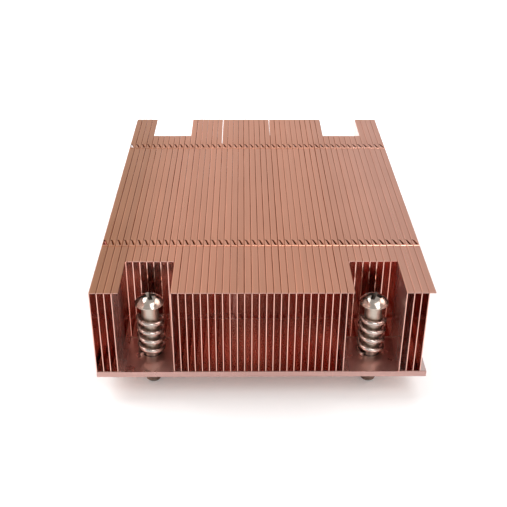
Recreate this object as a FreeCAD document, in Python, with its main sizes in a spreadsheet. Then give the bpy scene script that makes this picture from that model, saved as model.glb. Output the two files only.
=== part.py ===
import FreeCAD, Part
import math
import os

import Sketcher

# Passive heatsink for a 1U server processor with a 56 x 94 mm socket: a stack of folded copper fins that
# hook into each other, soldered to a copper base plate, with a captive spring-loaded screw in each corner.
# Millimetres. +Z is up, the air flows along Y, and the origin is the middle of the contact face below.

SIZES = [
    # the socket and the plate
    ("screw_spacing_x", 56.0),
    ("screw_spacing_y", 94.0),
    ("screw_end_margin", 8.5),  # from a screw's axis to the front or rear end of the stack
    ("plate_thickness", 1.5),
    ("pad_height", 1.5),  # the contact pad under the plate
    ("pad_length", 52.0),
    ("pad_corner", 2.0),
    ("pad_clearance", 1.5),  # between the pad's side and the retaining rings
    # the fins
    ("sheet_thickness", 0.3),
    ("fin_height", 23.5),
    ("fin_count", 47),
    ("fin_pitch", 1.75),
    ("fin_gap", 0.08),  # between a flange's free edge and the next wall
    ("notch_fins", 7),  # fins cut short in line with each screw
    ("notch_reach", 6.2),  # from a screw's axis to the back of its notch
    # the interlocks, two on each flange
    ("lock_setback", 9.0),  # from the back of a notch to the middle of its row of interlocks
    ("lock_bridge", 0.37),  # the strip of flange left between a window and the free edge
    ("window_length", 2.6),
    ("lock_clearance", 0.2),  # round a tongue in its window
    # the screws
    ("shoulder_diameter", 4.3),
    ("hole_clearance", 0.2),  # radial, round the shoulder in the plate
    ("head_diameter", 6.8),
    ("head_height", 2.4),
    ("recess_span", 3.8),
    ("recess_width", 0.8),
    ("recess_depth", 1.4),
    ("groove_diameter", 3.3),
    ("thread_diameter", 3.95),
    ("thread_length", 6.3),
    # the retaining rings
    ("ring_diameter", 7.0),
    ("ring_thickness", 0.6),
    ("ring_float", 0.1),  # axial play of the ring in its groove
    ("ring_fit", 0.05),  # radial play of the ring's prongs on the groove
    ("ring_rim", 0.95),  # radial width of the ring between its prongs
    ("ring_mouth", 2.7),
    ("prong_angle", 30.0),  # of the prong opposite the mouth, in degrees
    ("relief_angle", 85.0),  # of the gap on each side of that prong, in degrees
    # the springs
    ("wire_diameter", 1.2),
    ("spring_clearance", 0.2),  # radial, round the shoulder
    ("spring_length", 11.4),  # relaxed
    ("spring_play", 3.6),  # between the relaxed spring and the head
    ("active_turns", 3.65),
    ("closed_turns", 0.25),  # at each end, wound without pitch
    ("coil_gap", 0.06),  # what a closed turn rises above the wire's thickness
]

# Heights, lengths and places that follow from the sizes
PLATE_TOP = "(Sizes.pad_height + Sizes.plate_thickness)"
HEAD_LIFT = "(Sizes.spring_length + Sizes.spring_play)"
FULL_LENGTH = "(Sizes.screw_spacing_y + 2 * Sizes.screw_end_margin)"
SHORT_LENGTH = "(Sizes.screw_spacing_y - 2 * Sizes.notch_reach)"
STACK_WIDTH = "(Sizes.fin_count * Sizes.fin_pitch)"
NOTCH_WIDTH = "(Sizes.notch_fins * Sizes.fin_pitch)"
FLANGE_WIDTH = "(Sizes.fin_pitch - Sizes.fin_gap)"
WINDOW_WIDTH = "(" + FLANGE_WIDTH + " - Sizes.lock_bridge)"
TONGUE_REACH = "(Sizes.fin_pitch + " + WINDOW_WIDTH + " - Sizes.lock_clearance)"
TONGUE_LENGTH = "(Sizes.window_length - 2 * Sizes.lock_clearance)"
LOCK_ROW = "(" + SHORT_LENGTH + " / 2 - Sizes.lock_setback)"
PAD_WIDTH = "(Sizes.screw_spacing_x - Sizes.ring_diameter - 2 * Sizes.pad_clearance)"
SHOULDER_TOP = "(Sizes.ring_thickness + Sizes.plate_thickness + " + HEAD_LIFT + ")"

# Each corner: the side of X and Y that it is on, and how far its screw, ring and spring are turned
CORNERS = {
    "front_left": (-1, -1, 20, 200, -108),
    "front_right": (1, -1, 65, 155, -95),
    "rear_left": (-1, 1, 40, 35, 75),
    "rear_right": (1, 1, 10, 330, 150),
}

# The spring's wire is a six-sided rod bent in short straight steps
WIRE_SIDES = 6
STEPS_PER_TURN = 10

doc = FreeCAD.newDocument("heatsink")
sheet = doc.addObject("Spreadsheet::Sheet", "Sizes")
for row, (alias, value) in enumerate(SIZES, start=1):
    sheet.set(f"A{row}", alias)
    sheet.set(f"B{row}", str(value))
    sheet.setAlias(f"B{row}", alias)
doc.recompute()

sub_parts = []


def size(expression):
    """Present value of an expression in the sheet's sizes."""
    return float(sheet.evalExpression(expression))


def origin_feature(body, role):
    return next(feature for feature in body.Origin.OriginFeatures if feature.Role == role)


def new_sketch(body, name, role, lift=None):
    """A sketch on one of the body's origin planes, raised by the expression lift."""
    sketch = body.newObject("Sketcher::SketchObject", name)
    sketch.AttachmentSupport = [(origin_feature(body, role), "")]
    sketch.MapMode = "FlatFace"
    if lift:
        sketch.setExpression("AttachmentOffset.Base.z", lift)
    return sketch


def outline(sketch, points):
    """Closed run of straight lines, with each upright or level side kept so."""
    count = len(points)
    for start, end in zip(points, points[1:] + points[:1]):
        line = Part.LineSegment(FreeCAD.Vector(*start), FreeCAD.Vector(*end))
        index = sketch.addGeometry(line, False)
        if start[1] == end[1]:
            sketch.addConstraint(Sketcher.Constraint("Horizontal", index))
        elif start[0] == end[0]:
            sketch.addConstraint(Sketcher.Constraint("Vertical", index))
    first = sketch.GeometryCount - count
    for index in range(count):
        following = (index + 1) % count
        sketch.addConstraint(Sketcher.Constraint("Coincident", first + index, 2, first + following, 1))


def bind(sketch, name, kind, places, expression):
    """Named dimension of a sketch, driven by the sheet."""
    index = sketch.addConstraint(Sketcher.Constraint(kind, *places, size(expression)))
    sketch.renameConstraint(index, name)
    sketch.setExpression("Constraints." + name, expression)


def fin_blank(name, length, hooked=True):
    """A fin: a channel folded from thin copper along Y, its wall on the YZ plane, centred in Y and Z.

    Each flange has two windows at its fold. A hooked fin has two tongues on the upper flange's free edge,
    which reach into the next fin's windows.
    """
    body = doc.addObject("PartDesign::Body", name)
    sheet_thickness = size("Sizes.sheet_thickness")
    half_height = size("Sizes.fin_height") / 2
    edge = size(FLANGE_WIDTH)

    section = new_sketch(body, name + "_section", "XZ_Plane")
    inner_height = half_height - sheet_thickness
    outline(section, [
        (0, -half_height),
        (edge, -half_height),
        (edge, -inner_height),
        (sheet_thickness, -inner_height),
        (sheet_thickness, inner_height),
        (edge, inner_height),
        (edge, half_height),
        (0, half_height),
    ])
    section.addConstraint(Sketcher.Constraint("Symmetric", 7, 1, 7, 2, -1, 1))
    bind(section, "height", "DistanceY", (7, 2, 7, 1), "Sizes.fin_height")
    bind(section, "wall_sheet", "DistanceX", (7, 2, 2, 2), "Sizes.sheet_thickness")
    bind(section, "lower_sheet", "DistanceY", (1, 1, 1, 2), "Sizes.sheet_thickness")
    bind(section, "upper_sheet", "DistanceY", (5, 1, 5, 2), "Sizes.sheet_thickness")
    bind(section, "lower_flange", "DistanceX", (0, 1, 0, 2), FLANGE_WIDTH)
    bind(section, "upper_flange", "DistanceX", (6, 2, 6, 1), FLANGE_WIDTH)
    channel = body.newObject("PartDesign::Pad", name + "_channel")
    channel.Profile = section
    channel.Midplane = True
    channel.setExpression("Length", length)

    row = size(LOCK_ROW)
    window_end = size("Sizes.window_length") / 2
    window_side = size(WINDOW_WIDTH)
    opening = new_sketch(body, name + "_window_outline", "XY_Plane", "Sizes.fin_height / 2")
    outline(opening, [
        (-sheet_thickness, -row - window_end),
        (window_side, -row - window_end),
        (window_side, -row + window_end),
        (-sheet_thickness, -row + window_end),
    ])
    bind(opening, "side", "DistanceX", (-1, 1, 0, 2), WINDOW_WIDTH)
    bind(opening, "outside", "DistanceX", (0, 1, -1, 1), "Sizes.sheet_thickness")
    bind(opening, "length", "DistanceY", (1, 1, 1, 2), "Sizes.window_length")
    bind(opening, "front", "DistanceY", (0, 1, -1, 1), LOCK_ROW + " + Sizes.window_length / 2")
    window = body.newObject("PartDesign::Pocket", name + "_window")
    window.Profile = opening
    window.setExpression("Length", "Sizes.sheet_thickness")

    windows = body.newObject("PartDesign::MultiTransform", name + "_windows")
    windows.Originals = [window]
    rows = body.newObject("PartDesign::LinearPattern", name + "_window_rows")
    rows.Direction = (origin_feature(body, "Y_Axis"), [""])
    rows.setExpression("Length", "2 * " + LOCK_ROW)
    rows.Occurrences = 2
    flanges = body.newObject("PartDesign::Mirrored", name + "_flanges")
    flanges.MirrorPlane = (origin_feature(body, "XY_Plane"), [""])
    windows.Transformations = [rows, flanges]
    body.Tip = windows

    if hooked:
        tongue_end = size(TONGUE_LENGTH) / 2
        tip = size(TONGUE_REACH)
        hook = new_sketch(body, name + "_tongue_outline", "XY_Plane", "Sizes.fin_height / 2")
        outline(hook, [
            (edge, -row - tongue_end),
            (tip, -row - tongue_end),
            (edge, -row + tongue_end),
        ])
        bind(hook, "root", "DistanceX", (-1, 1, 0, 1), FLANGE_WIDTH)
        bind(hook, "reach", "DistanceX", (-1, 1, 0, 2), TONGUE_REACH)
        bind(hook, "length", "DistanceY", (2, 2, 2, 1), TONGUE_LENGTH)
        bind(hook, "front", "DistanceY", (0, 1, -1, 1), LOCK_ROW + " + " + TONGUE_LENGTH + " / 2")
        tongue = body.newObject("PartDesign::Pad", name + "_tongue")
        tongue.Profile = hook
        tongue.Reversed = True
        tongue.setExpression("Length", "Sizes.sheet_thickness")
        tongues = body.newObject("PartDesign::LinearPattern", name + "_tongues")
        tongues.Originals = [tongue]
        tongues.Direction = (origin_feature(body, "Y_Axis"), [""])
        tongues.setExpression("Length", "2 * " + LOCK_ROW)
        tongues.Occurrences = 2
        body.Tip = tongues
    return body


def placed_copy(pattern, name):
    """A body of its own with the form of a pattern body."""
    copy = doc.addObject("PartDesign::Body", name)
    copy.BaseFeature = pattern
    sub_parts.append(copy)
    return copy


def fin_stack():
    """Fins side by side from left to right. Those in line with the screws are short, to leave notches."""
    full = fin_blank("full_fin", FULL_LENGTH)
    short = fin_blank("short_fin", SHORT_LENGTH)
    last = fin_blank("last_fin", FULL_LENGTH, hooked=False)
    count = round(size("Sizes.fin_count"))
    pitch = size("Sizes.fin_pitch")
    screw_side = size("Sizes.screw_spacing_x") / 2
    for index in range(count):
        middle = (index + 0.5 - count / 2) * pitch
        in_notch = abs(abs(middle) - screw_side) < size(NOTCH_WIDTH) / 2
        if index == count - 1:
            pattern = last
        else:
            pattern = short if in_notch else full
        fin = placed_copy(pattern, f"fin_{index + 1:02d}")
        fin.setExpression("Placement.Base.x", f"{index} * Sizes.fin_pitch - {STACK_WIDTH} / 2")
        fin.setExpression("Placement.Base.z", PLATE_TOP + " + Sizes.fin_height / 2")


def base_plate():
    """Copper plate under the fins, with its raised contact pad and a hole for each screw."""
    body = doc.addObject("PartDesign::Body", "base_plate")
    sub_parts.append(body)
    half_width = size(STACK_WIDTH) / 2
    half_length = size(FULL_LENGTH) / 2
    plate_outline = new_sketch(body, "plate_outline", "XY_Plane", "Sizes.pad_height")
    outline(plate_outline, [
        (-half_width, -half_length),
        (half_width, -half_length),
        (half_width, half_length),
        (-half_width, half_length),
    ])
    plate_outline.addConstraint(Sketcher.Constraint("Symmetric", 0, 1, 1, 2, -1, 1))
    bind(plate_outline, "width", "DistanceX", (0, 1, 0, 2), STACK_WIDTH)
    bind(plate_outline, "length", "DistanceY", (1, 1, 1, 2), FULL_LENGTH)
    plate = body.newObject("PartDesign::Pad", "plate")
    plate.Profile = plate_outline
    plate.setExpression("Length", "Sizes.plate_thickness")

    half_pad_width = size(PAD_WIDTH) / 2
    half_pad_length = size("Sizes.pad_length") / 2
    pad_outline = new_sketch(body, "pad_outline", "XY_Plane")
    outline(pad_outline, [
        (-half_pad_width, -half_pad_length),
        (half_pad_width, -half_pad_length),
        (half_pad_width, half_pad_length),
        (-half_pad_width, half_pad_length),
    ])
    pad_outline.addConstraint(Sketcher.Constraint("Symmetric", 0, 1, 1, 2, -1, 1))
    bind(pad_outline, "width", "DistanceX", (0, 1, 0, 2), PAD_WIDTH)
    bind(pad_outline, "length", "DistanceY", (1, 1, 1, 2), "Sizes.pad_length")
    pad = body.newObject("PartDesign::Pad", "contact_pad")
    pad.Profile = pad_outline
    pad.setExpression("Length", "Sizes.pad_height")

    hole_centre = (-size("Sizes.screw_spacing_x") / 2, -size("Sizes.screw_spacing_y") / 2)
    hole_outline = new_sketch(body, "hole_outline", "XY_Plane", PLATE_TOP)
    centre = FreeCAD.Vector(*hole_centre)
    hole_outline.addGeometry(Part.Circle(centre, FreeCAD.Vector(0, 0, 1), 1.0), False)
    bind(hole_outline, "side", "DistanceX", (0, 3, -1, 1), "Sizes.screw_spacing_x / 2")
    bind(hole_outline, "end", "DistanceY", (0, 3, -1, 1), "Sizes.screw_spacing_y / 2")
    bind(hole_outline, "bore", "Diameter", (0,), "Sizes.shoulder_diameter + 2 * Sizes.hole_clearance")
    hole = body.newObject("PartDesign::Pocket", "screw_hole")
    hole.Profile = hole_outline
    hole.setExpression("Length", "Sizes.plate_thickness")

    corners = body.newObject("PartDesign::MultiTransform", "screw_holes")
    corners.Originals = [hole]
    across = body.newObject("PartDesign::LinearPattern", "holes_across")
    across.Direction = (origin_feature(body, "X_Axis"), [""])
    across.setExpression("Length", "Sizes.screw_spacing_x")
    across.Occurrences = 2
    along = body.newObject("PartDesign::LinearPattern", "holes_along")
    along.Direction = (origin_feature(body, "Y_Axis"), [""])
    along.setExpression("Length", "Sizes.screw_spacing_y")
    along.Occurrences = 2
    corners.Transformations = [across, along]
    body.Tip = corners

    doc.recompute()
    upright = [
        f"Edge{number}"
        for number, edge in enumerate(corners.Shape.Edges, start=1)
        if len(edge.Vertexes) == 2
        and abs(abs(edge.CenterOfMass.x) - half_pad_width) < 0.01
        and abs(abs(edge.CenterOfMass.y) - half_pad_length) < 0.01
    ]
    rounded = body.newObject("PartDesign::Fillet", "pad_corners")
    rounded.Base = (corners, upright)
    rounded.setExpression("Radius", "Sizes.pad_corner")
    body.Tip = rounded


def captive_screw():
    """Screw whose groove stands on the XY plane: shoulder and head above it, thread below."""
    body = doc.addObject("PartDesign::Body", "captive_screw")
    head_radius = size("Sizes.head_diameter") / 2
    shoulder = size("Sizes.shoulder_diameter") / 2
    groove = size("Sizes.groove_diameter") / 2
    thread = size("Sizes.thread_diameter") / 2
    tip = -size("Sizes.thread_length")
    groove_top = size("Sizes.ring_thickness + Sizes.ring_float")
    underside = size(SHOULDER_TOP)
    crown = underside + size("Sizes.head_height")

    half_section = new_sketch(body, "screw_half_section", "XZ_Plane")
    outline(half_section, [
        (0, crown),
        (0, tip),
        (thread, tip),
        (thread, 0),
        (groove, 0),
        (groove, groove_top),
        (shoulder, groove_top),
        (shoulder, underside),
        (head_radius, underside),
        (head_radius, crown),
    ])
    half_section.addConstraint(Sketcher.Constraint("PointOnObject", 0, 1, -2))
    half_section.addConstraint(Sketcher.Constraint("PointOnObject", 3, 1, -1))
    bind(half_section, "tip", "DistanceY", (2, 1, 2, 2), "Sizes.thread_length")
    bind(half_section, "thread", "DistanceX", (1, 1, 1, 2), "Sizes.thread_diameter / 2")
    bind(half_section, "groove", "DistanceX", (-1, 1, 4, 1), "Sizes.groove_diameter / 2")
    bind(half_section, "groove_width", "DistanceY", (4, 1, 4, 2), "Sizes.ring_thickness + Sizes.ring_float")
    bind(half_section, "shoulder", "DistanceX", (-1, 1, 6, 1), "Sizes.shoulder_diameter / 2")
    bind(half_section, "underside", "DistanceY", (-1, 1, 7, 1), SHOULDER_TOP)
    bind(half_section, "head", "DistanceX", (-1, 1, 8, 1), "Sizes.head_diameter / 2")
    bind(half_section, "height", "DistanceY", (8, 1, 8, 2), "Sizes.head_height")
    turned = body.newObject("PartDesign::Revolution", "turned_screw")
    turned.Profile = half_section
    turned.ReferenceAxis = (origin_feature(body, "Z_Axis"), [""])
    turned.Angle = 360

    span = size("Sizes.recess_span") / 2
    arm = size("Sizes.recess_width") / 2
    cross = new_sketch(body, "recess_outline", "XY_Plane", SHOULDER_TOP + " + Sizes.head_height")
    outline(cross, [
        (arm, arm),
        (arm, span),
        (-arm, span),
        (-arm, arm),
        (-span, arm),
        (-span, -arm),
        (-arm, -arm),
        (-arm, -span),
        (arm, -span),
        (arm, -arm),
        (span, -arm),
        (span, arm),
    ])
    cross.addConstraint(Sketcher.Constraint("Symmetric", 0, 1, 6, 1, -1, 1))
    cross.addConstraint(Sketcher.Constraint("Symmetric", 3, 1, 9, 1, -1, 1))
    bind(cross, "right_arm", "DistanceX", (-1, 1, 0, 1), "Sizes.recess_width / 2")
    bind(cross, "left_arm", "DistanceX", (3, 1, -1, 1), "Sizes.recess_width / 2")
    bind(cross, "right_shoulder", "DistanceY", (-1, 1, 0, 1), "Sizes.recess_width / 2")
    bind(cross, "left_shoulder", "DistanceY", (-1, 1, 3, 1), "Sizes.recess_width / 2")
    bind(cross, "rear_end", "DistanceY", (-1, 1, 1, 1), "Sizes.recess_span / 2")
    bind(cross, "front_end", "DistanceY", (7, 1, -1, 1), "Sizes.recess_span / 2")
    bind(cross, "left_end", "DistanceX", (4, 1, -1, 1), "Sizes.recess_span / 2")
    bind(cross, "right_end", "DistanceX", (-1, 1, 10, 1), "Sizes.recess_span / 2")
    recess = body.newObject("PartDesign::Pocket", "cross_recess")
    recess.Profile = cross
    recess.setExpression("Length", "Sizes.recess_depth")
    body.Tip = recess
    return body


def cylinder(name, radius, height):
    solid = doc.addObject("Part::Cylinder", name)
    solid.setExpression("Radius", radius)
    solid.setExpression("Height", height)
    return solid


def retaining_ring():
    """E-shaped ring standing on the XY plane, mouth towards -Y. Its three prongs reach into the groove."""
    disc = cylinder("ring_disc", "Sizes.ring_diameter / 2", "Sizes.ring_thickness")
    bore = cylinder("ring_bore", "Sizes.groove_diameter / 2 + Sizes.ring_fit", "Sizes.ring_thickness")
    mouth = doc.addObject("Part::Box", "ring_mouth")
    mouth.setExpression("Length", "Sizes.ring_mouth")
    mouth.setExpression("Width", "Sizes.ring_diameter")
    mouth.setExpression("Height", "Sizes.ring_thickness")
    mouth.setExpression("Placement.Base.x", "-Sizes.ring_mouth / 2")
    mouth.setExpression("Placement.Base.y", "-Sizes.ring_diameter")
    removed = [bore, mouth]
    starts = {
        "left": "90 + Sizes.prong_angle / 2",
        "right": "90 - Sizes.prong_angle / 2 - Sizes.relief_angle",
    }
    for side, start in starts.items():
        relief = cylinder(
            "relief_" + side, "Sizes.ring_diameter / 2 - Sizes.ring_rim", "Sizes.ring_thickness"
        )
        relief.setExpression("Angle", "Sizes.relief_angle")
        relief.Placement.Rotation = FreeCAD.Rotation(FreeCAD.Vector(0, 0, 1), size(start))
        relief.setExpression("Placement.Rotation.Angle", start)
        removed.append(relief)
    cuts = doc.addObject("Part::MultiFuse", "ring_cuts")
    cuts.Shapes = removed
    ring = doc.addObject("Part::Cut", "retaining_ring")
    ring.Base = disc
    ring.Tool = cuts
    return ring


def compression_spring():
    """Left-hand spring standing on the XY plane, top end towards -Y, both ends closed and lightly ground."""
    wire = size("Sizes.wire_diameter")
    length = size("Sizes.spring_length")
    coil_radius = size("Sizes.shoulder_diameter / 2 + Sizes.spring_clearance") + wire / 2
    closed_turns = size("Sizes.closed_turns")
    closed_rise = wire + size("Sizes.coil_gap")
    active_turns = size("Sizes.active_turns")
    turns = active_turns + 2 * closed_turns
    first_height = 0.4 * wire
    active_rise = (length - 2 * first_height - 2 * closed_rise * closed_turns) / active_turns

    def height_at(turn):
        if turn < closed_turns:
            return first_height + closed_rise * turn
        if turn < turns - closed_turns:
            return first_height + closed_rise * closed_turns + active_rise * (turn - closed_turns)
        return length - first_height - closed_rise * (turns - turn)

    steps = round(turns * STEPS_PER_TURN)
    points = []
    for step in range(steps + 1):
        turn = turns * step / steps
        angle = 2 * math.pi * (turns - turn) - math.pi / 2
        across = coil_radius * math.cos(angle)
        along = coil_radius * math.sin(angle)
        points.append(FreeCAD.Vector(across, along, height_at(turn)))

    forward = (points[1] - points[0]).normalize()
    outward = FreeCAD.Vector(points[0].x, points[0].y, 0).normalize()
    outward = (outward - forward * outward.dot(forward)).normalize()
    upward = forward.cross(outward)
    corners = []
    for corner in range(WIRE_SIDES + 1):
        angle = 2 * math.pi * (corner + 0.5) / WIRE_SIDES
        corners.append(points[0] + (outward * math.cos(angle) + upward * math.sin(angle)) * (wire / 2))
    sweep = Part.BRepOffsetAPI.MakePipeShell(Part.makePolygon(points))
    sweep.setTransitionMode(1)
    sweep.add(Part.makePolygon(corners))
    sweep.build()
    sweep.makeSolid()
    ground = sweep.shape().common(Part.makeCylinder(coil_radius + wire, length))
    spring = doc.addObject("Part::Feature", "compression_spring")
    spring.Shape = ground.Solids[0]
    return spring


def fasteners():
    """In each corner a screw, the ring that keeps it in the plate, and the spring round its shoulder."""
    patterns = {
        "screw": captive_screw(),
        "retaining_ring": retaining_ring(),
        "spring": compression_spring(),
    }
    ring_seat = "Sizes.pad_height - Sizes.ring_thickness"
    heights = {"screw": ring_seat, "retaining_ring": ring_seat, "spring": PLATE_TOP}
    for corner, (side, end, *turns) in CORNERS.items():
        for (piece, pattern), turn in zip(patterns.items(), turns):
            copy = placed_copy(pattern, f"{piece}_{corner}")
            copy.Placement.Rotation = FreeCAD.Rotation(FreeCAD.Vector(0, 0, 1), turn)
            copy.setExpression("Placement.Base.x", f"{side} * Sizes.screw_spacing_x / 2")
            copy.setExpression("Placement.Base.y", f"{end} * Sizes.screw_spacing_y / 2")
            copy.setExpression("Placement.Base.z", heights[piece])


def check_document():
    """Stops when anything in the document failed, or a sub-part isn't one sound solid."""
    for item in doc.Objects:
        if "Invalid" in item.State or "Error" in item.State:
            raise RuntimeError(f"{item.Label} failed: {item.getStatusString()}")
    for part in sub_parts:
        if part.Shape.isNull() or not part.Shape.isValid() or len(part.Shape.Solids) != 1:
            raise RuntimeError(f"{part.Label} is not one sound solid")


base_plate()
fin_stack()
fasteners()
doc.recompute()
check_document()
os.makedirs("parts", exist_ok=True)
for part in sub_parts:
    part.Shape.exportStep(f"parts/{part.Label}.step")
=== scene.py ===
import math
import random
from types import SimpleNamespace

import bmesh
import bpy
from mathutils import Matrix, Vector


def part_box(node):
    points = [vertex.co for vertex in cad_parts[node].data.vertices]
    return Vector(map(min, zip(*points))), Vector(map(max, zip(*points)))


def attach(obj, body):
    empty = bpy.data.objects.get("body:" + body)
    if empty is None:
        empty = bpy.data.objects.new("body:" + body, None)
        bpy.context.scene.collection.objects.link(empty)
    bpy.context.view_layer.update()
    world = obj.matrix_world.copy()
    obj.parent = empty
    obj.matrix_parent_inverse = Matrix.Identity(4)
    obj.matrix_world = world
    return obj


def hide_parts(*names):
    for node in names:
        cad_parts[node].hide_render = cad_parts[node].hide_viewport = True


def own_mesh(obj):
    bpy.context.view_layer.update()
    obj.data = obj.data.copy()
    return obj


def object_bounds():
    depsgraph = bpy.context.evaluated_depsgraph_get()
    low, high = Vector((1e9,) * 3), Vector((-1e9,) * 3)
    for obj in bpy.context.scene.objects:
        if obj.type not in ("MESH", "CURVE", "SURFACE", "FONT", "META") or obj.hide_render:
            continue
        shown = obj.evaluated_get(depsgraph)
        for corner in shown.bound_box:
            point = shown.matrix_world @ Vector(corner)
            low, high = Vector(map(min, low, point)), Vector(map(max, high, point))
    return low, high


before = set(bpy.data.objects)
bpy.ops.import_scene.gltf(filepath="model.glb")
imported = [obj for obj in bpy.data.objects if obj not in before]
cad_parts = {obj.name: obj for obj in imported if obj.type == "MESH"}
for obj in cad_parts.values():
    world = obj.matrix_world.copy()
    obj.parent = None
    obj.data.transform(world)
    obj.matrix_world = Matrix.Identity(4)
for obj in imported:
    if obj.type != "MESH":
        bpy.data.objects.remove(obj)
cad_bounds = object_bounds()

MM = 0.001
CORNERS = ("front_left", "front_right", "rear_left", "rear_right")
FINS = sorted(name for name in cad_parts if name.startswith("fin_"))
SHORT_FIN = min(FINS, key=lambda node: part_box(node)[1][1])
TOUCH = 0.01 * MM  # places nearer to each other than this are one place

# Places on the stack of fins
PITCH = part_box(FINS[1])[0][0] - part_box(FINS[0])[0][0]
STACK_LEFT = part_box(FINS[0])[0][0]
LAST_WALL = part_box(FINS[-1])[0][0]
FIN_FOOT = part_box(FINS[0])[0][2]
STACK_TOP = cad_bounds[1][2]
SHORT_FIN_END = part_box(SHORT_FIN)[1][1]
NOTCH_CENTRE = sum(corner[0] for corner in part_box("screw_front_right")) / 2
NOTCH_REACH = 8 * MM  # from the notch's centre to beyond its walls
LOCK_ROWS = (-31.1 * MM, 32.4 * MM)
LOCK_MIDDLE = sum(LOCK_ROWS) / 2
LOCK_SPAN = LOCK_ROWS[1] - LOCK_MIDDLE

# The folded sheet
SHEET = 0.20 * MM
FOLD_RADIUS = 0.24 * MM  # outside of each fold
FLAT_START = 0.45 * MM  # where a flange is flat
FLANGE_WIDTH = 1.748 * MM
LAST_FLANGE_LESS = 0.06 * MM  # by which the last fin's flanges are narrower
END_ROOM = 0.005 * MM  # between a fin's ends and its box
FLANGE_WAVE = 0.03 * MM  # how far a flange's free edge waves up and down
EDGE_WAVE = 0.002 * MM  # how far it waves sideways
SLIT_FRONTS = {"fin_17": 34.5 * MM, "fin_26": 42 * MM}  # where the slits beside two flanges begin
SLIT_WIDTH = 0.17 * MM
STATION_STEP = 5 * MM  # between the mesh's divisions along a fin
STATION_ROOM = 1.2 * MM  # least room between two of them

# The windows in the flanges, the tongues in the windows and the lips in front of the windows
WINDOW_LENGTH = 2.6 * MM
HALF_WINDOW = WINDOW_LENGTH / 2
WINDOW_FRONT_WIDTH = 1.35 * MM
WINDOW_REAR_WIDTH = 0.55 * MM
WINDOW_EDGE_DROP = 0.12 * MM  # how far a window's slanted edge is pressed down
TONGUE_LENGTH = 2.5 * MM
TONGUE_STEP = 0.02 * MM  # from the flange down to the start of its tongue
TONGUE_DROP = 0.42 * MM  # from there down to its tip
TONGUE_HOLD = 0.12 * MM  # how far a tongue goes under the slanted edge
TONGUE_MARKS = [TONGUE_LENGTH * share for share in (-0.5, -0.25, 0, 0.25, 0.5)]
LIP_HEIGHT = 0.15 * MM
# the lip's section: distance in front of the window, and share of the lip's height there
LIP_SHAPE = ((0.7 * MM, 0), (0.55 * MM, 1), (0.47 * MM, 0.88), (0.07 * MM, 0.05))

# The screws
SHOULDER_RADIUS = 2.15 * MM
SHOULDER_EDGE = 0.1 * MM
GROOVE_RADIUS = 1.65 * MM
GROOVE_TOP = 1.6 * MM
THREAD_TOP = 0.9 * MM
THREAD_PITCH = 0.7 * MM
THREAD_RADIUS = 1.975 * MM
THREAD_ROOT = 1.6 * MM
HEAD_RADIUS = 3.6 * MM
HEAD_UNDERSIDE = 18.03 * MM
RIM_HEIGHT = 0.3 * MM
HEAD_RIM = HEAD_UNDERSIDE + RIM_HEIGHT  # where the crown begins
HEAD_EDGE_WIDTH = 0.1 * MM
HEAD_EDGE_HEIGHT = 0.08 * MM
# the cutter's ends: height over the crown, half the cross's span and half an arm's width
RECESS_MOUTH = (0.3 * MM, 2.35 * MM, 0.6 * MM)
RECESS_BOTTOM = (-1.4 * MM, 1.1 * MM, 0.35 * MM)
RECESS_SKIN = 0.06 * MM  # faces that lie deeper than this in the head belong to the recess
SCREW_SHADE_TOP = 4.2 * MM  # the screws carry painted shade below this, where they stand in the dark of the spring's foot and under the plate
SCREW_SIDES = 48
SCREW_TURNS = {"front_left": 20, "front_right": 65, "rear_left": 40, "rear_right": 10}  # in degrees

# The springs
WIRE_RADIUS = 0.6 * MM
COIL_RADIUS = 2.95 * MM
COIL_GAP = 0.06 * MM
ACTIVE_TURNS = 3.65
CLOSED_TURNS = 0.25  # at each end
ALL_TURNS = ACTIVE_TURNS + 2 * CLOSED_TURNS
GROUND_HEIGHT = 0.8 * WIRE_RADIUS  # of the wire's middle over its ground end
STEPS_PER_TURN = 40
WIRE_SIDES = 18
SPRING_TURNS = {"front_left": -108, "front_right": -95, "rear_left": 75, "rear_right": 150}  # in degrees

# Where the fins' finish changes
TOP_SKIN = 0.4 * MM  # depth of the flanges and their lips under the stack's top
LOCK_SKIN = 0.8 * MM  # depth that takes in the tongues
INNER_REACH = 38 * MM  # from the middle of the stack to just short of any fin's end
FACING_UP = 0.25  # least upward part of the normal on a flange or lip
FACING_ALONG = 0.7  # least part of the normal along an axis on a face that looks that way

# Colours, and strengths of light
FLANGE_COPPER = (0.855, 0.40, 0.265)
FLANGE_COPPER_LEFT = (0.60, 0.275, 0.155)
FLANGE_COPPER_RIGHT = (0.85, 0.44, 0.33)
WALL_COPPER = (0.985, 0.755, 0.705)
OUTER_COPPER = (0.93, 0.50, 0.37)
# painted shade for the seams, the gaps beside the tongues and the flanges' sides, with the tint of its
# reflections
PAINTED_SHADE_COPPER = (0.31, 0.075, 0.03)
PAINTED_SHADE_RIM = (0.30, 0.10, 0.05)
CUT_COPPER = (0.91, 0.52, 0.435)
PLATE_COPPER = (0.97, 0.66, 0.60)
PLATE_EDGE_SHADE_COPPER = (0.57, 0.35, 0.315)
PLATE_UNDERSIDE_COPPER = (0.90, 0.50, 0.38)
SCREW_STEEL = (0.58, 0.50, 0.435)
# dark steel that paints the shade inside the cross recess
RECESS_SHADE_STEEL = (0.16, 0.13, 0.11)
WIRE_STEEL = (0.56, 0.475, 0.43)
RING_STEEL = (0.35, 0.35, 0.36)
FLOOR_WHITE = (0.84, 0.83, 0.825, 1)
FLOOR_LIFT = 0.15  # of the floor near the part
FLOOR_LIFT_FAR = 0.75
FLOOR_NEAR = 85 * MM
FLOOR_FAR = 200 * MM
FLOOR_GAP = 0.02 * MM  # under the screws' tips
HORIZON_STRENGTH = 0.90
ZENITH_STRENGTH = 0.51
SOFT_BOX_SIZE = (0.44, 0.44)
SOFT_BOX_POWER = 2.6


# ---------------------------------------------------------------- arithmetic in shaders

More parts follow.
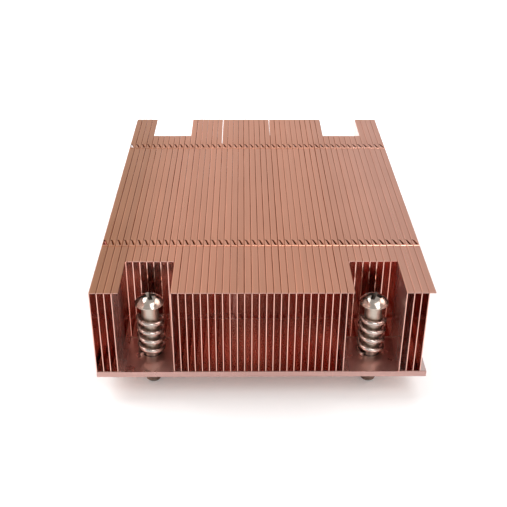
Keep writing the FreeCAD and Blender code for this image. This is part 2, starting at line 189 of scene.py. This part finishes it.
class Term:
    """A number or colour that a shader works out. Arithmetic on it adds the nodes that do the work."""

    def __init__(self, tree, socket):
        self.tree = tree
        self.socket = socket

    def __add__(self, other):
        return calculated("ADD", self, other)

    def __radd__(self, other):
        return calculated("ADD", other, self)

    def __sub__(self, other):
        return calculated("SUBTRACT", self, other)

    def __rsub__(self, other):
        return calculated("SUBTRACT", other, self)

    def __mul__(self, other):
        return calculated("MULTIPLY", self, other)

    def __truediv__(self, other):
        return calculated("DIVIDE", self, other)

    def __mod__(self, other):
        return calculated("MODULO", self, other)

    def __abs__(self):
        return calculated("ABSOLUTE", self)

    def __gt__(self, other):
        return calculated("GREATER_THAN", self, other)

    def __lt__(self, other):
        return calculated("LESS_THAN", self, other)


def feed(socket, value):
    """Links a term to a socket, or sets the socket to a plain value."""
    if isinstance(value, Term):
        value.tree.links.new(value.socket, socket)
    else:
        socket.default_value = value


def calculated(operation, *values):
    """What a math node makes of the values, of which one at least is a term."""
    tree = next(value.tree for value in values if isinstance(value, Term))
    node = tree.nodes.new("ShaderNodeMath")
    node.operation = operation
    for socket, value in zip(node.inputs, values):
        feed(socket, value)
    return Term(tree, node.outputs[0])


def larger(first, second):
    """The larger of two terms."""
    return calculated("MAXIMUM", first, second)


def ranged(value, start, end, low, high, shape="SMOOTHSTEP"):
    """Low where value is at start and high where it is at end, smooth or linear in between."""
    spread = value.tree.nodes.new("ShaderNodeMapRange")
    spread.interpolation_type = shape
    spread.inputs["From Min"].default_value = start
    spread.inputs["From Max"].default_value = end
    spread.inputs["To Min"].default_value = low
    spread.inputs["To Max"].default_value = high
    feed(spread.inputs["Value"], value)
    return Term(value.tree, spread.outputs["Result"])


def blended(factor, first, second, kind="VECTOR"):
    """First where factor is 0, second where it is 1. Kind is VECTOR for colours and FLOAT for numbers."""
    mix = factor.tree.nodes.new("ShaderNodeMix")
    mix.data_type = kind
    feed(mix.inputs["Factor"], factor)
    socket_type = kind.replace("FLOAT", "VALUE")
    inputs = [socket for socket in mix.inputs if socket.type == socket_type]
    outputs = [socket for socket in mix.outputs if socket.type == socket_type]
    feed(inputs[-2], first)
    feed(inputs[-1], second)
    return Term(factor.tree, outputs[0])


def tinted(colour, *factors):
    """The colour times every factor."""
    total = factors[0]
    for factor in factors[1:]:
        total = total * factor
    scale = total.tree.nodes.new("ShaderNodeVectorMath")
    scale.operation = "SCALE"
    feed(scale.inputs[0], colour)
    feed(scale.inputs["Scale"], total)
    return Term(total.tree, scale.outputs["Vector"])


def split_vector(tree, kind_of_node, output):
    """The x, y and z of what a node of this kind puts out."""
    source = tree.nodes.new(kind_of_node)
    split = tree.nodes.new("ShaderNodeSeparateXYZ")
    tree.links.new(source.outputs[output], split.inputs["Vector"])
    return [Term(tree, split.outputs[axis]) for axis in "XYZ"]


def place_on_part(tree):
    """The x, y and z of the surface, which stay with a piece as it moves."""
    return split_vector(tree, "ShaderNodeTexCoord", "Object")


def facing(tree):
    """The x, y and z of the surface's normal."""
    return split_vector(tree, "ShaderNodeNewGeometry", "True Normal")


def noise(tree, scale, detail, low, high):
    """Noise between low and high, stretched by scale, which is per metre along each axis of the part."""
    place = tree.nodes.new("ShaderNodeTexCoord")
    mapping = tree.nodes.new("ShaderNodeMapping")
    mapping.inputs["Scale"].default_value = scale
    tree.links.new(place.outputs["Object"], mapping.inputs["Vector"])
    texture = tree.nodes.new("ShaderNodeTexNoise")
    texture.inputs["Scale"].default_value = 1.0
    texture.inputs["Detail"].default_value = detail
    tree.links.new(mapping.outputs["Vector"], texture.inputs["Vector"])
    return ranged(Term(tree, texture.outputs["Fac"]), 0.3, 0.7, low, high, "LINEAR")


def value_of_fin(tree, seed, low, high):
    """A value of its own for each fin, between low and high. Another seed gives the fins other values."""
    x, _, _ = place_on_part(tree)
    index = calculated("FLOOR", (x - (STACK_LEFT + 0.02 * PITCH)) / PITCH)
    white = tree.nodes.new("ShaderNodeTexWhiteNoise")
    white.noise_dimensions = "1D"
    feed(white.inputs["W"], index + seed)
    return ranged(Term(tree, white.outputs["Value"]), 0, 1, low, high, "LINEAR")


# ---------------------------------------------------------------- materials

def new_material(name, metallic):
    """A new material, the tree of its nodes and its shader."""
    material = bpy.data.materials.new(name)
    material.use_nodes = True
    shader = material.node_tree.nodes["Principled BSDF"]
    shader.inputs["Metallic"].default_value = metallic
    return material, material.node_tree, shader


def add_bump(shader, height, distance):
    """Fine relief of this distance between height 0 and height 1."""
    bump = height.tree.nodes.new("ShaderNodeBump")
    bump.inputs["Distance"].default_value = distance
    bump.inputs["Strength"].default_value = 1.0
    feed(bump.inputs["Height"], height)
    height.tree.links.new(bump.outputs["Normal"], shader.inputs["Normal"])


def fin_places(tree):
    """Where on the stack the surface lies: its kind of face, and how far its seam and lock row are."""
    x, y, z = place_on_part(tree)
    facing_x, facing_y, facing_z = facing(tree)
    raised = z > STACK_TOP - TOP_SKIN
    outside = larger(x < STACK_LEFT + SHEET / 2, x > LAST_WALL + SHEET / 2)
    from_middle = y - LOCK_MIDDLE
    offset = from_middle - calculated("SIGN", from_middle) * LOCK_SPAN
    slant = (WINDOW_REAR_WIDTH - WINDOW_FRONT_WIDTH) / WINDOW_LENGTH
    slanted = offset * slant + (WINDOW_REAR_WIDTH + WINDOW_FRONT_WIDTH) / 2
    return SimpleNamespace(
        x=x,
        y=y,
        z=z,
        raised=raised,
        flange=raised * (facing_z > FACING_UP),
        cut=abs(facing_y) > FACING_ALONG,
        outer=(abs(facing_x) > FACING_ALONG) * outside,
        inner=abs(y) < INNER_REACH,
        from_seam=(x - (STACK_LEFT - 0.5 * PITCH)) % PITCH - 0.5 * PITCH,
        offset=offset,
        from_row=abs(offset),
        from_gap=(x - STACK_LEFT) % PITCH - slanted,
    )


def fin_colour(at):
    """Copper of the flanges, darker and browner towards the left and paler towards the right, and of walls
    and cut edges.
    """
    left = ranged(at.x, -22 * MM, STACK_LEFT, 0, 1)
    right = ranged(at.x, 8 * MM, -STACK_LEFT, 0, 1)
    above = blended(left, FLANGE_COPPER, FLANGE_COPPER_LEFT)
    above = blended(right, above, FLANGE_COPPER_RIGHT)
    wall = blended(at.outer, WALL_COPPER, OUTER_COPPER)
    below = blended(at.cut, wall, CUT_COPPER)
    return blended(at.flange, below, above)


def fin_painted_shade(tree, at):
    """Painted shade along the uneven seams, fainter at the right, in the gap beside each tongue and on the
    sides of the flanges.
    """
    strength = value_of_fin(tree, 7.5, 0.2, 1.05) * noise(tree, (600, 60, 1), 2, 0.45, 1.15)
    strength = strength * ranged(at.x, 32 * MM, 35 * MM, 1, 0.45)
    seam = ranged(abs(at.from_seam), 0.06 * MM, 0.17 * MM, 0.92, 0) * strength * at.raised
    gap = ranged(abs(at.from_gap), 0.12 * MM, 0.26 * MM, 0.9, 0) * (at.from_row < HALF_WINDOW)
    gap = gap * (at.z > STACK_TOP - LOCK_SKIN)
    side = (at.raised - at.flange) * at.inner
    return larger(larger(seam, gap), side * 0.8)


def fold_painted_highlight(tree, at):
    """Painted highlight along the fold beside each seam."""
    fold_highlight = ranged(abs(at.from_seam - FOLD_RADIUS), 0.04 * MM, 0.16 * MM, 0.16, 0)
    fold_highlight = fold_highlight * noise(tree, (600, 90, 1), 2, 0.2, 1.5)
    return 1 + fold_highlight * at.flange


def lock_painted_highlight(at):
    """Painted highlights on the sheet beside each tongue and on the lips."""
    highlight_beside_gap = ranged(abs(at.from_gap - 0.5 * MM), 0.1 * MM, 0.3 * MM, 0.17, 0)
    highlight_beside_gap = highlight_beside_gap * ranged(abs(at.offset - 0.7 * MM), 0.4 * MM, 0.8 * MM, 1, 0)
    highlight_on_lip = ranged(abs(at.offset + (HALF_WINDOW + 0.3 * MM)), 0.2 * MM, 0.4 * MM, 0.17, 0)
    return 1 + larger(highlight_beside_gap, highlight_on_lip) * at.raised


def lock_shade(at):
    """The shade under the lock rows, which is deeper under the first fin's open windows."""
    depth = ranged(at.x, STACK_LEFT + PITCH, STACK_LEFT + 1.1 * PITCH, 14 * MM, 1.5 * MM)
    under = at.z + depth > STACK_TOP
    near_row = ranged(at.from_row, 2.2 * MM, 3.2 * MM, 1, 0)
    hidden = (under - at.flange) * near_row * (1 - at.outer)
    return 1 - hidden * 0.85


def foot_darkening(at):
    """Darker along the foot of each fin's cut ends."""
    low = at.z < FIN_FOOT + 0.25 * MM
    return 1 - low * at.cut * 0.7


def top_edge_shade(at):
    """Painted shade on the flanges' cut ends."""
    at_end = at.cut * (1 - at.inner)
    return 1 - at.raised * at_end * 0.4


def fin_roughness(tree, at):
    """Dulled flanges, satin walls in the notches and on the outside, and bright walls elsewhere."""
    dull = noise(tree, (900, 18, 900), 3, 0.27, 0.40)
    bright = noise(tree, (300, 18, 300), 3, 0.10, 0.14)
    satin = noise(tree, (300, 300, 18), 3, 0.24, 0.29)
    beside_notch = abs(abs(at.x) - NOTCH_CENTRE) < NOTCH_REACH
    in_notch = beside_notch * (abs(at.y) > SHORT_FIN_END)
    wall = blended(in_notch, bright, satin, "FLOAT")
    wall = blended(at.outer, wall, 0.33, "FLOAT")
    return blended(at.flange, wall, dull, "FLOAT")


def fin_copper():
    """Rolled copper sheet: dulled flanges above, bright walls and cut edges, painted shade along the seams
    between flanges and painted highlights beside them.
    """
    material, tree, shader = new_material("fin_copper", 1.0)
    at = fin_places(tree)
    # painted shade along the seams, beside the tongues and on the flanges' sides, blended into the copper
    painted_shade = fin_painted_shade(tree, at)
    colour = blended(painted_shade, fin_colour(at), PAINTED_SHADE_COPPER)
    own = value_of_fin(tree, 0.5, 0.94, 1.0)
    grain = noise(tree, (2600, 25, 2600), 3, 0.96, 1.01)
    cloud = noise(tree, (70, 45, 70), 2, 0.95, 1.01)
    colour = tinted(colour, own, grain, cloud, fold_painted_highlight(tree, at), lock_painted_highlight(at), lock_shade(at),
                    foot_darkening(at), top_edge_shade(at))
    feed(shader.inputs["Base Color"], colour)
    feed(shader.inputs["Specular Tint"], blended(painted_shade, (1, 1, 1), PAINTED_SHADE_RIM))
    feed(shader.inputs["Roughness"], fin_roughness(tree, at))
    add_bump(shader, noise(tree, (2200, 14, 2200), 2, 0, 1), 0.002 * MM)
    return material


def plate_copper():
    """Milled copper plate, with painted shade on its upright edges."""
    material, tree, shader = new_material("plate_copper", 1.0)
    _, _, facing_z = facing(tree)
    # the upright edges get the painted shade, the underside its own copper
    colour = blended(abs(facing_z), PLATE_EDGE_SHADE_COPPER, PLATE_COPPER)
    downward = ranged(facing_z, -0.9, -0.5, 1, 0)
    colour = blended(downward, colour, PLATE_UNDERSIDE_COPPER)
    grain = noise(tree, (60, 1800, 1800), 3, 0.96, 1.02)
    cloud = noise(tree, (110, 110, 300), 3, 0.90, 1.02)
    feed(shader.inputs["Base Color"], tinted(colour, grain, cloud))
    feed(shader.inputs["Roughness"], noise(tree, (200, 200, 200), 2, 0.26, 0.36))
    return material


def steel(name, colour, roughness, scale, satin_below=None):
    """Steel with fine turning or drawing marks. It may be satin below a height and carry painted shade at
    its foot.
    """
    material, tree, shader = new_material(name, 1.0)
    marks = noise(tree, scale, 3, 0.93, 1.05)
    cloud = noise(tree, (400, 400, 400), 2, 0.94, 1.04)
    factors = [marks, cloud]
    dull = noise(tree, scale, 2, roughness * 0.8, roughness * 1.25)
    if satin_below is not None:
        _, _, height = place_on_part(tree)
        # painted shade at the screw's foot
        factors.append(ranged(height, SCREW_SHADE_TOP, SCREW_SHADE_TOP + 0.1 * MM, 0.4, 1))
        dull = dull + ranged(height, satin_below - 0.1 * MM, satin_below, 0.2, 0)
    feed(shader.inputs["Base Color"], tinted(colour, *factors))
    feed(shader.inputs["Roughness"], dull)
    add_bump(shader, noise(tree, scale, 2, 0, 1), 0.001 * MM)
    return material


def floor_paper():
    """White floor that keeps the part's shadow, and is lifted towards white away from the part."""
    material, tree, shader = new_material("floor_paper", 0.0)
    shader.inputs["Base Color"].default_value = FLOOR_WHITE
    shader.inputs["Roughness"].default_value = 0.6
    place = tree.nodes.new("ShaderNodeTexCoord")
    away = tree.nodes.new("ShaderNodeVectorMath")
    away.operation = "LENGTH"
    tree.links.new(place.outputs["Object"], away.inputs[0])
    lift = ranged(Term(tree, away.outputs["Value"]), FLOOR_NEAR, FLOOR_FAR, FLOOR_LIFT, FLOOR_LIFT_FAR)
    light_path = tree.nodes.new("ShaderNodeLightPath")
    glow = tree.nodes.new("ShaderNodeEmission")
    feed(glow.inputs["Strength"], Term(tree, light_path.outputs["Is Camera Ray"]) * lift)
    both = tree.nodes.new("ShaderNodeAddShader")
    tree.links.new(shader.outputs["BSDF"], both.inputs[0])
    tree.links.new(glow.outputs["Emission"], both.inputs[1])
    tree.links.new(both.outputs["Shader"], tree.nodes["Material Output"].inputs["Surface"])
    return material


# ---------------------------------------------------------------- meshes

def add_object(name, bm):
    """Turns the mesh being built into an object of the scene."""
    mesh = bpy.data.meshes.new(name)
    bm.to_mesh(mesh)
    bm.free()
    obj = bpy.data.objects.new(name, mesh)
    bpy.context.scene.collection.objects.link(obj)
    return obj


def add_skin(bm, rings):
    """Joins rings of points into a closed skin, with a flat face at each end."""
    for before, after in zip(rings, rings[1:]):
        for point in range(len(before)):
            following = (point + 1) % len(before)
            bm.faces.new((before[point], before[following], after[following], after[point]))
    bm.faces.new(list(reversed(rings[0])))
    bm.faces.new(rings[-1])
    bmesh.ops.recalc_face_normals(bm, faces=bm.faces)


def baked(obj, sharp_degrees=35):
    """Applies the object's modifiers, and shades it smooth up to a sharp edge."""
    bpy.context.view_layer.update()
    evaluated = obj.evaluated_get(bpy.context.evaluated_depsgraph_get())
    mesh = bpy.data.meshes.new_from_object(evaluated)
    obj.modifiers.clear()
    obj.data = mesh
    for face in mesh.polygons:
        face.use_smooth = True
    mesh.set_sharp_from_angle(angle=math.radians(sharp_degrees))
    return obj


def coat(obj, material):
    """Gives the object this one material."""
    obj.data.materials.clear()
    obj.data.materials.append(material)


def dress(obj, material, body, slot, *nodes):
    """Gives the object its material, the body it rides on and the CAD nodes whose place it takes."""
    coat(obj, material)
    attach(obj, body)
    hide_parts(*nodes)


def middle_of(node):
    """The x and y of the middle of a CAD node."""
    low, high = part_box(node)
    return (low[0] + high[0]) / 2, (low[1] + high[1]) / 2


# ---------------------------------------------------------------- fins

def fin_path(height):
    """Outer outline of the folded sheet, from the upper flange's free edge round to the lower one's."""
    upper = [(FLANGE_WIDTH, 0), (WINDOW_FRONT_WIDTH, 0), (FLAT_START, 0)]
    for degrees in (0, 22.5, 45, 67.5, 90):
        angle = math.radians(degrees)
        upper.append((FOLD_RADIUS * (1 - math.sin(angle)), FOLD_RADIUS * (1 - math.cos(angle))))
    lower = [(across, height - down) for across, down in reversed(upper)]
    return upper + [(0, height / 2)] + lower, len(upper)


def fin_stations(front, rear):
    """Places along the fin where its mesh is divided: at the lips, windows and tongues, and in between."""
    offsets = [-HALF_WINDOW - reach for reach, rise in LIP_SHAPE]
    offsets += [-HALF_WINDOW, HALF_WINDOW] + TONGUE_MARKS
    marks = {front, rear}
    for row in LOCK_ROWS:
        marks.update(row + offset for offset in offsets)
    step_count = round((rear - front) / STATION_STEP)
    for step in range(1, step_count):
        place = front + (rear - front) * step / step_count
        if all(abs(place - mark) > STATION_ROOM for mark in marks):
            marks.add(place)
    return sorted(marks)


def from_row(along):
    """How far behind its nearest lock row a place along the fin is. It is negative in front of the row."""
    return min((along - row for row in LOCK_ROWS), key=abs)


def slanted_edge(offset):
    """How far a window reaches across its flange, at an offset from its lock row."""
    share = 0.5 - offset / WINDOW_LENGTH
    return WINDOW_REAR_WIDTH + (WINDOW_FRONT_WIDTH - WINDOW_REAR_WIDTH) * share


def lifted_by_lip(drop, offset):
    """How far below the flat flange a point lies, once the lip in front of the window has lifted it."""
    for reach, rise in LIP_SHAPE:
        if abs(offset + HALF_WINDOW + reach) < TOUCH:
            drop = max(drop - LIP_HEIGHT * rise, -LIP_HEIGHT)
    return drop


def wave_along(rng, length):
    """A smooth wave along a fin of this length, different for each fin."""
    waves = [(rng.uniform(0.5, 1.6), rng.uniform(0, 6.28), rng.uniform(0.2, 1)) for _ in range(3)]

    def wave(along):
        phase = along / length * 2 * math.pi
        return sum(size * math.sin(turns * phase + start) for turns, start, size in waves) / 3

    return wave


def sheet_points(bm, node, path, stations, top):
    """Rows of points on the outside of the folded sheet, one row for each point of its outline."""
    low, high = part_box(node)
    rng = random.Random(100 + FINS.index(node))
    wave = wave_along(rng, high[1] - low[1])
    sag = rng.gauss(0.02, 0.015) * MM
    slit_front = SLIT_FRONTS.get(node, high[1])
    rows = []
    for place, (across, down) in enumerate(path):
        upper = place < len(path) / 2
        at_window_edge = place in (1, len(path) - 2)
        reach = across / FLANGE_WIDTH
        row = []
        for along in stations:
            offset = from_row(along)
            aside = across
            drop = down
            if upper:
                drop += (FLANGE_WAVE * wave(along) + sag) * reach
            if at_window_edge and abs(offset) < HALF_WINDOW + TOUCH:
                aside = slanted_edge(offset)
                drop += WINDOW_EDGE_DROP
            aside -= EDGE_WAVE * (1 + wave(along + 10 * MM)) * reach
            if node == FINS[-1]:
                aside -= LAST_FLANGE_LESS * reach
            if upper and along > slit_front:
                aside -= SLIT_WIDTH * reach
            if upper and down < FOLD_RADIUS / 2:
                drop = lifted_by_lip(drop, offset)
            row.append(bm.verts.new((low[0] + aside, along, top - drop)))
        rows.append(row)
    return rows


def add_sheet(bm, rows, stations, fold_end):
    """Faces between the rows of points. The windows stay open."""
    for place in range(len(rows) - 1):
        in_flange = 1 <= place < fold_end - 1 or len(rows) - fold_end <= place < len(rows) - 2
        for station in range(len(stations) - 1):
            middle = (stations[station] + stations[station + 1]) / 2
            if in_flange and abs(from_row(middle)) < HALF_WINDOW:
                continue
            bm.faces.new((rows[place][station], rows[place + 1][station],
                          rows[place + 1][station + 1], rows[place][station + 1]))


def add_tongues(bm, edge, stations, wall, top):
    """Tongues on the upper flange's edge. Each dips into the next fin's window, under its slanted edge."""
    for row in LOCK_ROWS:
        root = [i for i, along in enumerate(stations) if abs(along - row) < TONGUE_LENGTH / 2 + TOUCH]
        previous = [edge[i] for i in root]
        for share in (0.25, 0.5, 0.75, 1.0):
            height = top - TONGUE_STEP - TONGUE_DROP * share ** 2
            line = []
            for i in root:
                reach = PITCH + slanted_edge(stations[i] - row) + TONGUE_HOLD
                across = FLANGE_WIDTH + (reach - FLANGE_WIDTH) * share
                line.append(bm.verts.new((wall + across, stations[i], height)))
            for a in range(len(root) - 1):
                bm.faces.new((previous[a], previous[a + 1], line[a + 1], line[a]))
            previous = line


def build_fin(node, material):
    """Fin of folded sheet, with two windows at each flange's fold and a lip in front of each upper one."""
    low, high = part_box(node)
    top = high[2] - LIP_HEIGHT
    path, fold_end = fin_path(top - low[2])
    stations = fin_stations(low[1] + END_ROOM, high[1] - END_ROOM)
    bm = bmesh.new()
    rows = sheet_points(bm, node, path, stations, top)
    add_sheet(bm, rows, stations, fold_end)
    if node != FINS[-1]:
        add_tongues(bm, rows[0], stations, low[0], top)
    bmesh.ops.recalc_face_normals(bm, faces=bm.faces)
    fin = add_object(f"folded_{node}", bm)
    solid = fin.modifiers.new("sheet", "SOLIDIFY")
    solid.thickness = SHEET
    solid.offset = -1
    solid.use_even_offset = True
    baked(fin)
    dress(fin, material, "sink", "copper_fin", node)


# ---------------------------------------------------------------- screws and springs

def crown_ball(crown):
    """Radius of the ball that the head's crown is a part of."""
    rise = crown - HEAD_RIM
    return (HEAD_RADIUS ** 2 + rise ** 2) / (2 * rise)


def screw_outline(tip, crown):
    """Radius and height of the screw, from its tip to its crown. Along the thread the radius is None."""
    rows = []
    thread_rows = round((THREAD_TOP - tip) / THREAD_PITCH * 8)
    for step in range(thread_rows + 1):
        rows.append((None, tip + (THREAD_TOP - tip) * step / thread_rows))
    rows.append((GROOVE_RADIUS, THREAD_TOP))
    rows.append((GROOVE_RADIUS, GROOVE_TOP))
    rows.append((SHOULDER_RADIUS - SHOULDER_EDGE, GROOVE_TOP))
    rows.append((SHOULDER_RADIUS, GROOVE_TOP + SHOULDER_EDGE))
    rows.append((SHOULDER_RADIUS, HEAD_UNDERSIDE - RIM_HEIGHT))
    rows.append((SHOULDER_RADIUS, HEAD_UNDERSIDE))
    rows.append((HEAD_RADIUS - HEAD_EDGE_WIDTH, HEAD_UNDERSIDE))
    rows.append((HEAD_RADIUS, HEAD_UNDERSIDE + HEAD_EDGE_HEIGHT))
    rows.append((HEAD_RADIUS, HEAD_RIM))
    ball = crown_ball(crown)
    half_angle = math.asin(HEAD_RADIUS / ball)
    for step in range(1, 10):
        angle = half_angle * (1 - step / 10)
        rows.append((ball * math.sin(angle), crown - ball * (1 - math.cos(angle))))
    return rows


def thread_radius(angle, height, tip):
    """Radius of the right-hand thread, with a chamfer at the tip and a run-out below the groove."""
    turn = (height / THREAD_PITCH - angle / (2 * math.pi)) % 1
    depth = min(1, max(0, abs(turn - 0.5) * 2.6 - 0.15))  # 0 along the flat crest, 1 along the root
    radius = THREAD_RADIUS - (THREAD_RADIUS - THREAD_ROOT) * depth
    chamfer = THREAD_ROOT - 0.1 * MM + (height - tip)
    run_out = THREAD_ROOT + (THREAD_TOP - height)
    return min(radius, chamfer, run_out)


def build_screw(corner, material, recess_shade_material):
    """Captive screw: thread, groove for the retaining ring, shoulder, and domed head with a cross recess."""
    node = f"screw_{corner}"
    low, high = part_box(node)
    centre = middle_of(node)
    tip, crown = low[2], high[2]
    bm = bmesh.new()
    rings = []
    for radius, height in screw_outline(tip, crown):
        ring = []
        for side in range(SCREW_SIDES):
            angle = 2 * math.pi * side / SCREW_SIDES
            reach = thread_radius(angle, height, tip) if radius is None else radius
            ring.append(bm.verts.new((centre[0] + reach * math.cos(angle),
                                      centre[1] + reach * math.sin(angle),
                                      height)))
        rings.append(ring)
    add_skin(bm, rings)
    screw = add_object(f"threaded_{node}", bm)

    cutter = recess_cutter(centre, crown, SCREW_TURNS[corner])
    cut = screw.modifiers.new("recess", "BOOLEAN")
    cut.operation = "DIFFERENCE"
    cut.solver = "EXACT"
    cut.object = cutter
    baked(screw, 30)
    bpy.data.objects.remove(cutter)
    dress(screw, material, node, "screw_steel", node)
    coat_recess(screw, centre, crown, recess_shade_material)


def coat_recess(screw, centre, crown, material):
    """Gives the faces of the recess the dark steel of the painted shade in it."""
    screw.data.materials.append(material)
    ball = crown_ball(crown)
    centre_of_ball = Vector((centre[0], centre[1], crown - ball))
    for face in screw.data.polygons:
        inside = (face.center - centre_of_ball).length < ball - RECESS_SKIN
        if inside and face.center.z > HEAD_RIM:
            face.material_index = 1


def recess_cutter(centre, crown, turn):
    """Tapered cross that cuts the driver recess."""
    bm = bmesh.new()
    rotation = Matrix.Rotation(math.radians(turn), 2)
    levels = []
    for rise, span, arm in (RECESS_MOUTH, RECESS_BOTTOM):
        outline = [(arm, arm), (arm, span), (-arm, span), (-arm, arm), (-span, arm), (-span, -arm),
                   (-arm, -arm), (-arm, -span), (arm, -span), (arm, -arm), (span, -arm), (span, arm)]
        level = []
        for point in outline:
            turned = rotation @ Vector(point)
            level.append(bm.verts.new((centre[0] + turned.x, centre[1] + turned.y, crown + rise)))
        levels.append(level)
    add_skin(bm, levels)
    return add_object("recess_cutter", bm)


def coil_height(turn, length):
    """Height of the wire's middle over the spring's foot: closed turns at both ends, open ones between."""
    closed_rise = 2 * WIRE_RADIUS + COIL_GAP
    active_rise = (length - 2 * GROUND_HEIGHT - 2 * closed_rise * CLOSED_TURNS) / ACTIVE_TURNS
    if turn < CLOSED_TURNS:
        return GROUND_HEIGHT + closed_rise * turn
    if turn < ALL_TURNS - CLOSED_TURNS:
        return GROUND_HEIGHT + closed_rise * CLOSED_TURNS + active_rise * (turn - CLOSED_TURNS)
    return length - GROUND_HEIGHT - closed_rise * (ALL_TURNS - turn)


def build_spring(corner, material):
    """Left-hand compression spring of round wire, its ends closed and lightly ground."""
    node = f"spring_{corner}"
    centre = middle_of(f"screw_{corner}")
    low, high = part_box(node)
    base, length = low[2], high[2] - low[2]
    towards = math.radians(SPRING_TURNS[corner] - 90)
    steps = round(ALL_TURNS * STEPS_PER_TURN)
    bm = bmesh.new()
    rings = []
    for step in range(steps + 1):
        turn = ALL_TURNS * step / steps
        angle = 2 * math.pi * (ALL_TURNS - turn) + towards
        outward = Vector((math.cos(angle), math.sin(angle), 0))
        ring = []
        for side in range(WIRE_SIDES):
            around = 2 * math.pi * side / WIRE_SIDES
            point = outward * (COIL_RADIUS + WIRE_RADIUS * math.cos(around))
            height = coil_height(turn, length) + WIRE_RADIUS * math.sin(around)
            ring.append(bm.verts.new((centre[0] + point.x, centre[1] + point.y,
                                      base + min(max(height, 0), length))))
        rings.append(ring)
    add_skin(bm, rings)
    spring = baked(add_object(f"wound_{node}", bm), 40)
    dress(spring, material, "sink", "spring_steel", node)
    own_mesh(spring)


# ---------------------------------------------------------------- studio

def area_light(name, place, target, size, power):
    """Rectangular soft light that points at the target."""
    data = bpy.data.lights.new(name, "AREA")
    data.shape = "RECTANGLE"
    data.size, data.size_y = size
    data.energy = power
    light = bpy.data.objects.new(name, data)
    bpy.context.scene.collection.objects.link(light)
    light.location = place
    light.rotation_euler = (Vector(target) - Vector(place)).to_track_quat("-Z", "Y").to_euler()
    return light


def white_world():
    """White surroundings, brighter at the horizon than overhead."""
    world = bpy.data.worlds.new("studio")
    world.use_nodes = True
    tree = world.node_tree
    _, _, upward = split_vector(tree, "ShaderNodeTexCoord", "Generated")
    strength = ranged(upward, 0.05, 0.75, HORIZON_STRENGTH, ZENITH_STRENGTH)
    light_path = tree.nodes.new("ShaderNodeLightPath")
    background = tree.nodes["Background"]
    feed(background.inputs["Strength"], larger(strength, Term(tree, light_path.outputs["Is Camera Ray"])))
    background.inputs["Color"].default_value = (1, 1, 1, 1)
    return world


def studio(floor_material):
    """Pale floor just under the part, white surroundings and three soft lights."""
    scene = bpy.context.scene
    scene.view_settings.view_transform = "Standard"
    scene.cycles.max_bounces = 32
    scene.cycles.glossy_bounces = 32
    scene.world = white_world()

    bm = bmesh.new()
    bmesh.ops.create_grid(bm, x_segments=1, y_segments=1, size=3)
    floor = add_object("floor", bm)
    floor.location.z = cad_bounds[0][2] - FLOOR_GAP
    floor.data.materials.append(floor_material)

    overhead = area_light("overhead", (0, 0.25, 0.8), (0, 0, 0), (0.9, 0.7), 4.0)
    overhead.visible_glossy = False
    area_light("left_box", (-0.45, 0.13, 0.585), (0, 0, 0.01), SOFT_BOX_SIZE, SOFT_BOX_POWER)
    area_light("front_right_box", (0.33, -0.405, 0.55), (0, 0, 0.01), SOFT_BOX_SIZE, SOFT_BOX_POWER)


def camera():
    """At the photo's viewing angle: a little left of the middle, looking 30 degrees down."""
    data = bpy.data.cameras.new("camera")
    data.lens = 61.45
    data.clip_start = 0.01
    eye = bpy.data.objects.new("camera", data)
    bpy.context.scene.collection.objects.link(eye)
    eye.matrix_world = (
        Matrix.Translation((-4.58 * MM, -227.2 * MM, 136.8 * MM))
        @ Matrix.Rotation(math.radians(-0.78), 4, "Z")
        @ Matrix.Rotation(math.radians(90 - 30.14), 4, "X")
        @ Matrix.Rotation(math.radians(0.32), 4, "Z")
    )
    bpy.context.scene.camera = eye


# ---------------------------------------------------------------- the part

camera()
studio(floor_paper())

copper_sheet = fin_copper()
for fin in FINS:
    build_fin(fin, copper_sheet)

screw_steel = steel("screw_steel", SCREW_STEEL, 0.19, (300, 300, 5000), HEAD_RIM)
recess_shade_steel = steel("recess_shade_steel", RECESS_SHADE_STEEL, 0.4, (900, 900, 900))
wire_steel = steel("wire_steel", WIRE_STEEL, 0.24, (900, 900, 900))
ring_steel = steel("ring_steel", RING_STEEL, 0.35, (1500, 1500, 1500))
for screw_corner in CORNERS:
    build_screw(screw_corner, screw_steel, recess_shade_steel)
    build_spring(screw_corner, wire_steel)
    coat(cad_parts[f"retaining_ring_{screw_corner}"], ring_steel)
coat(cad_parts["base_plate"], plate_copper())
